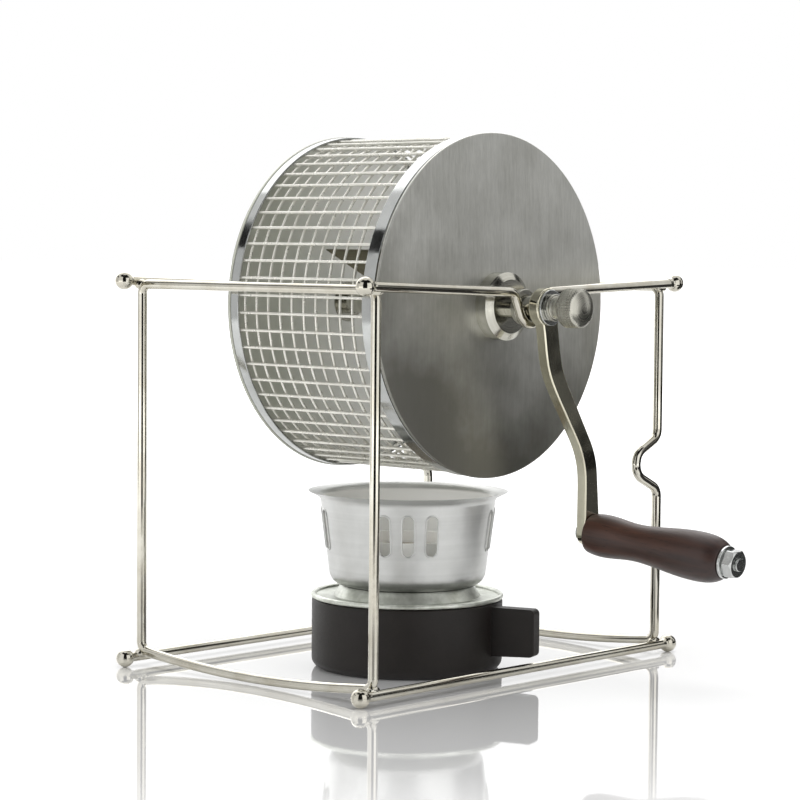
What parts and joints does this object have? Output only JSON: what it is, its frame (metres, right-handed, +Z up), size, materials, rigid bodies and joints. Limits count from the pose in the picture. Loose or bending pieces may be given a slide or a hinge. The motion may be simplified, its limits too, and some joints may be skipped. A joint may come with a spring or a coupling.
{
  "type": "hand-cranked coffee roaster",
  "caption": "Wire-mesh drum turned by a crank with a wooden grip, lying in saddles of a wire stand on ball feet, over a slotted spirit burner.",
  "frame": {"origin": "on the table under the middle of the stand, which is a point on the burner's flat underside", "axes": "+X along the drum shaft towards the crank, +Y along the stand's long side towards the loop with the kinked posts, +Z up"},
  "size_m": [0.2177, 0.1924, 0.2112],
  "materials": {
    "nickel_wire": "polished nickel plate, slightly warm",
    "brushed_plate": "fine brushed grain",
    "polished_band": "mirror polished",
    "mesh_wire": "bright drawn wire",
    "turned_steel": "bright turned, with turning marks",
    "dark_sheet": "dull sheet, heat stained",
    "crank_nickel": "polished nickel plate, slightly warm",
    "zinc_fastener": "zinc plated",
    "wood": "dark brown varnished hardwood",
    "spun_aluminium": "satin spun",
    "polished_tray": "polished",
    "black_moulding": "matte with a fine grain",
    "wick_pad": "woven fibre"
  },
  "bodies": {
    "stand": {"front_loop": "nickel_wire", "rear_loop": "nickel_wire", "crank_side_top_rail": "nickel_wire", "far_side_top_rail": "nickel_wire", "crank_side_bottom_rail": "nickel_wire", "far_side_bottom_rail": "nickel_wire", "ball_finials": "nickel_wire", "ball_feet": "nickel_wire"},
    "shaft_rings": {"spacer_rings": "turned_steel"},
    "drum": {"drum_shaft": "turned_steel", "crank_end_plate": "brushed_plate", "far_end_plate": "brushed_plate", "crank_end_band": "polished_band", "far_end_band": "polished_band", "mesh_bars": "mesh_wire", "mesh_hoops": "mesh_wire", "stirring_vanes": "dark_sheet", "crank_hub": "turned_steel", "far_hub": "turned_steel", "hub_grub_screws": "zinc_fastener", "crank_arm": "crank_nickel", "grip_bolt": "zinc_fastener", "grip_washer": "zinc_fastener", "grip_nut": "zinc_fastener"},
    "grip": {"wooden_grip": "wood"},
    "nut_washer": {"crank_washer": "zinc_fastener"},
    "nut": {"thumb_nut": "turned_steel"},
    "burner": {"burner_base": "black_moulding"},
    "burner_cup": {"fuel_tray": "polished_tray", "windshield": "spun_aluminium", "fuel_cup": "spun_aluminium", "wick": "wick_pad"}
  },
  "joints": [
    {"name": "drum_lift", "type": "slide", "parent": "stand", "child": "shaft_rings", "axis": [0, 0, 1], "range_m": [0, 0.06]},
    {"name": "drum_spin", "type": "hinge", "parent": "shaft_rings", "child": "drum", "pos_m": [0, 0, 0.144], "axis": [1, 0, 0], "continuous": true},
    {"name": "grip_spin", "type": "hinge", "parent": "drum", "child": "grip", "pos_m": [0.07628, 0.02596, 0.05553], "axis": [0.9957, 0.0144, -0.0912], "continuous": true},
    {"name": "nut_travel", "type": "slide", "parent": "drum", "child": "nut_washer", "axis": [1, 0, 0], "range_m": [0, 0.006]},
    {"name": "nut_turn", "type": "hinge", "parent": "nut_washer", "child": "nut", "pos_m": [0.0763, 0, 0.144], "axis": [1, 0, 0], "range_deg": [0, 2160]},
    {"name": "burner_slide", "type": "slide", "parent": "stand", "child": "burner", "axis": [0, 1, 0], "range_m": [-0.03, 0.05]},
    {"name": "cup_lift", "type": "slide", "parent": "burner", "child": "burner_cup", "axis": [0, 0, 1], "range_m": [0, 0.006]}
  ],
  "couplings": [
    {"joint": "nut_travel", "follows": "nut_turn", "m_per_rad": 0.000159}
  ]
}
